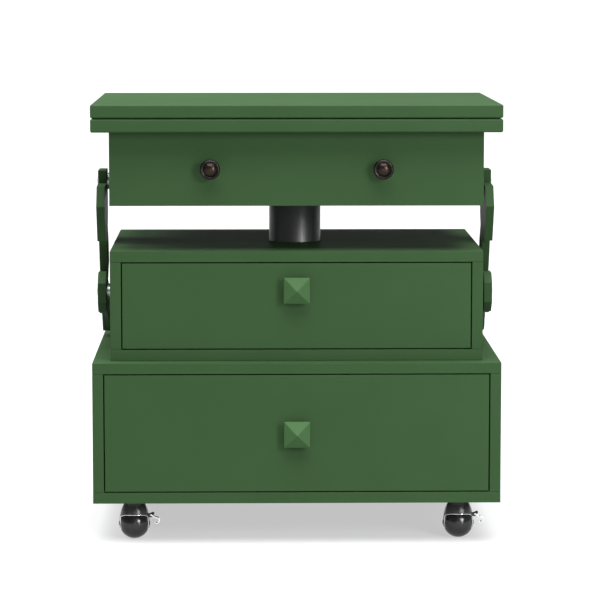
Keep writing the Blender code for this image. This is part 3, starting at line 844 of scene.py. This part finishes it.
def hood(label, at, body, node):
    """A thin moulded dome over the ball, with a bright bead along its rim."""
    segments, rows = 144, 14
    bead = 0.75 * MM
    bm = bmesh.new()
    columns = []
    for step in range(segments):
        angle = 2 * math.pi * step / segments
        bottom = rim_height(angle)
        column_verts = []
        for row in range(rows + 1):
            height = bottom + (HOOD_TOP - bottom) * row / rows
            radius = hood_radius(height)
            place = (radius * math.cos(angle), radius * math.sin(angle), height)
            column_verts.append(bm.verts.new(place))
        columns.append(column_verts)
    crown = bm.verts.new((0, 0, HOOD_TOP))
    for first, second in zip(columns, columns[1:] + columns[:1]):
        for row in range(rows):
            bm.faces.new((first[row], second[row], second[row + 1], first[row + 1]))
        bm.faces.new((first[rows], second[rows], crown))
    made = finished(f"{label}_caster_dome", bm, HOOD_BLACK, body, at, (node,), 60)
    skin = made.modifiers.new("skin", "SOLIDIFY")
    skin.thickness = HOOD_SKIN
    skin.offset = -1
    rim = []
    for step in range(segments):
        angle = 2 * math.pi * step / segments
        height = rim_height(angle)
        radius = hood_radius(height) - 0.4 * MM
        rim.append((radius * math.cos(angle), radius * math.sin(angle), height))
    tube(f"{label}_caster_rim", rim, bead, CHROME, body, True, at)
    for side_label, side in SIDES:
        cap = [
            (0, CAP_END), (4.2 * MM, CAP_END), (4.2 * MM, 25.2 * MM), (3.6 * MM, 25.8 * MM),
            (2.0 * MM, 26.1 * MM), (0, 26.2 * MM),
        ]
        bm = turned(cap, 40, "X" if side > 0 else "-X")
        place = (at[0], at[1], BALL_HEIGHT)
        finished(f"{label}_{side_label}_axle_cap", bm, HOOD_BLACK, body, place, sharp=50)


def ball(label, node):
    """The ball wheel, with flat hubs where the cheeks hold it."""
    low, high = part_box(node)
    middle = (low + high) / 2
    radius = (high.z - low.z) / 2
    flat = math.asin(BALL_FLAT / radius)
    hub = radius * math.cos(flat)
    axle = 2.6 * MM
    dish = BALL_FLAT - 1 * MM
    profile = [(0, -HUB_HALF), (axle, -HUB_HALF), (axle, -dish), (hub - 3 * MM, -dish),
               (hub - 1.5 * MM, -BALL_FLAT)]
    steps = 48
    for step in range(steps + 1):
        angle = -flat + 2 * flat * step / steps
        profile.append((radius * math.cos(angle), radius * math.sin(angle)))
    profile += [(r, -x) for r, x in reversed(profile[:5])]
    bm = turned(profile, 96, "X")
    finished(f"{label}_caster_wheel_ball", bm, BALL_BLACK, body_of(node), middle, (node,), 40)


def strap_outline(path, thick):
    """The outline of a bent strip of even thickness along a path in X and Z."""
    upper, lower = [], []
    for number, point in enumerate(path):
        before = path[max(number - 1, 0)]
        after = path[min(number + 1, len(path) - 1)]
        along = (after - before).normalized()
        normal = Vector((-along.y, along.x, 0)) * thick / 2
        upper.append((point.x + normal.x, point.y + normal.y))
        lower.append((point.x - normal.x, point.y - normal.y))
    return upper + lower[::-1]


def brake(label, at, hood_body, lever_body, node):
    """A bent chrome pedal on a pin, held by a black lug with a stop peg."""
    path = [  # from the pivot, in millimetres
        (-1.2, 0.8), (1.2, -0.6), (5, -3.4), (9.4, -4.8), (12.8, -6.4), (13.8, -9.4),
        (12.4, -12.6), (9.0, -14.4), (6.0, -12.8),
    ]
    curve = smooth_through([(a * MM, b * MM, 0) for a, b in path], 5)
    bm = prism(strap_outline(curve, 1.6 * MM), -4.6 * MM, 4.6 * MM, "Y")
    bmesh.ops.recalc_face_normals(bm, faces=bm.faces)
    round_edges(bm, 0.35 * MM, 2, 50)
    pivot = Vector(at) + BRAKE_PIVOT
    flatten(finished(f"{label}_brake_pedal", bm, CHROME, lever_body, pivot, (node,), 40))
    ends = 5.6 * MM
    pin = [(0, -ends), (1.3 * MM, -ends), (1.5 * MM, -ends + 0.3 * MM), (1.5 * MM, ends - 0.3 * MM),
           (1.3 * MM, ends), (0, ends)]
    finished(f"{label}_brake_pin", turned(pin, 24, "Y"), CHROME, hood_body, pivot, sharp=50)
    x, y = at[0], at[1]
    board(f"{label}_brake_lug", (x + 21.8 * MM, y - 3.4 * MM, 35.2 * MM),
          (x + 29.6 * MM, y + 3.4 * MM, 41.2 * MM), HOOD_BLACK, hood_body, 0.9 * MM)
    peg = [(24.8, 39.4), (26.8, 40.2), (28.8, 41.0), (30.6, 41.4)]
    route = [(a * MM, 0, b * MM) for a, b in peg]
    tube(f"{label}_brake_peg", route, 2.1 * MM, HOOD_BLACK, hood_body, at=(x, y, 0))
    knob = [(0, -2.6 * MM), (1.6 * MM, -2.2 * MM), (2.5 * MM, -1.0 * MM), (2.7 * MM, 0.2 * MM),
            (2.2 * MM, 1.5 * MM), (1.2 * MM, 2.3 * MM), (0, 2.5 * MM)]
    tip = (x + 31.0 * MM, y, 41.4 * MM)
    finished(f"{label}_brake_peg_tip", turned(knob, 24, "X"), HOOD_BLACK, hood_body, tip, sharp=80)


def casters():
    """Four ball casters; the front pair carry brake pedals."""
    for label in ("front_left", "front_right", "rear_left", "rear_right"):
        plate = f"{label}_caster_plate"
        low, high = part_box(plate)
        x, y = (low.x + high.x) / 2, (low.y + high.y) / 2
        half, thick = (high.x - low.x) / 2, 2 * MM
        bm = prism(rounded_square(half, 5 * MM), high.z - thick, high.z, "Z")
        bmesh.ops.recalc_face_normals(bm, faces=bm.faces)
        round_edges(bm, 0.35 * MM, 2, 50)
        finished(f"{label}_mounting_plate", bm, ZINC, "base", (x, y, 0), (plate,), 50)
        pin = [(0, low.z), (4 * MM, low.z), (4 * MM, high.z - thick), (0, high.z - thick)]
        finished(f"{label}_king_pin", turned(pin, 32), ZINC, "base", (x, y, 0), sharp=50)
        inset = half - 4.6 * MM
        places = [(x + a * inset, y + b * inset, high.z - thick) for a in (-1, 1) for b in (-1, 1)]
        screws(f"{label}_plate_screws", places, "-Z", "base", head=PLATE_SCREW)
        ball_low, ball_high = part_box(f"{label}_caster_ball")
        centre = (ball_low + ball_high) / 2
        at = (centre.x, centre.y, 0)
        hood_node = f"{label}_caster_hood"
        hood(label, at, body_of(hood_node), hood_node)
        ball(label, f"{label}_caster_ball")
        if label.startswith("front"):
            lever = f"{label}_brake_lever"
            brake(label, at, body_of(hood_node), body_of(lever), lever)


# ---------------------------------------------------------------- studio


def studio():
    """A wide pale floor, a bright horizon, a broad light above, and softboxes."""
    bm = bmesh.new()
    bmesh.ops.create_circle(bm, cap_ends=True, segments=96, radius=FLOOR_RADIUS)
    mesh = bpy.data.meshes.new("floor")
    bm.to_mesh(mesh)
    bm.free()
    mesh.materials.append(pale_floor())
    floor = bpy.data.objects.new("floor", mesh)
    bpy.context.scene.collection.objects.link(floor)

    world = bpy.data.worlds.new("studio")
    world.use_nodes = True
    bpy.context.scene.world = world
    tree = world.node_tree
    sky = add(tree, "ShaderNodeTexCoord").outputs["Generated"]
    height = add(tree, "ShaderNodeSeparateXYZ", {"Vector": sky}).outputs["Z"]
    tint = ramp(tree, height, (0.105, (HORIZON_LIGHT,) * 3), (0.125, (WORLD_LIGHT,) * 3))
    background = tree.nodes["Background"]
    tree.links.new(tint, background.inputs["Color"])
    background.inputs["Strength"].default_value = WORLD_STRENGTH

    sun = bpy.data.lights.new("overhead", "SUN")
    sun.energy = SUN_ENERGY
    sun.angle = math.radians(SUN_ANGLE)
    overhead = bpy.data.objects.new("overhead", sun)
    overhead.rotation_euler = Vector(SUN_FROM).to_track_quat("Z", "Y").to_euler()
    bpy.context.scene.collection.objects.link(overhead)

    for name, place, wide, tall, energy in SOFTBOXES:
        light = bpy.data.lights.new(name, "AREA")
        light.shape = "RECTANGLE"
        light.size, light.size_y = wide, tall
        light.energy = energy
        made = bpy.data.objects.new(name, light)
        made.location = place
        aim = SOFTBOX_AIM - Vector(place)
        made.rotation_euler = aim.to_track_quat("-Z", "Y").to_euler()
        bpy.context.scene.collection.objects.link(made)


def camera():
    """A long lens, a little above the table and in front of it, as in the photograph."""
    data = bpy.data.cameras.new("camera")
    data.lens = LENS
    data.sensor_width = SENSOR
    data.clip_end = CLIP_END
    made = bpy.data.objects.new("camera", data)
    made.location = CAMERA_AT
    tilt, turn = math.radians(90 - CAMERA_PITCH), math.radians(-CAMERA_YAW)
    made.rotation_euler = (tilt, 0, turn)
    bpy.context.scene.collection.objects.link(made)
    bpy.context.scene.camera = made


camera()
studio()
cabinets()
holed_panel()
tray("lower_drawer_tray")
tray("middle_drawer_tray", NOTCH_HALF, COLUMN_Y - NOTCH_HALF)
tray("top_drawer_tray")
slide_members("lower")
slide_members("middle")
hinges()
pyramid_knobs()
round_knobs()
column()
arms()
casters()
bpy.context.scene.view_settings.view_transform = "Standard"
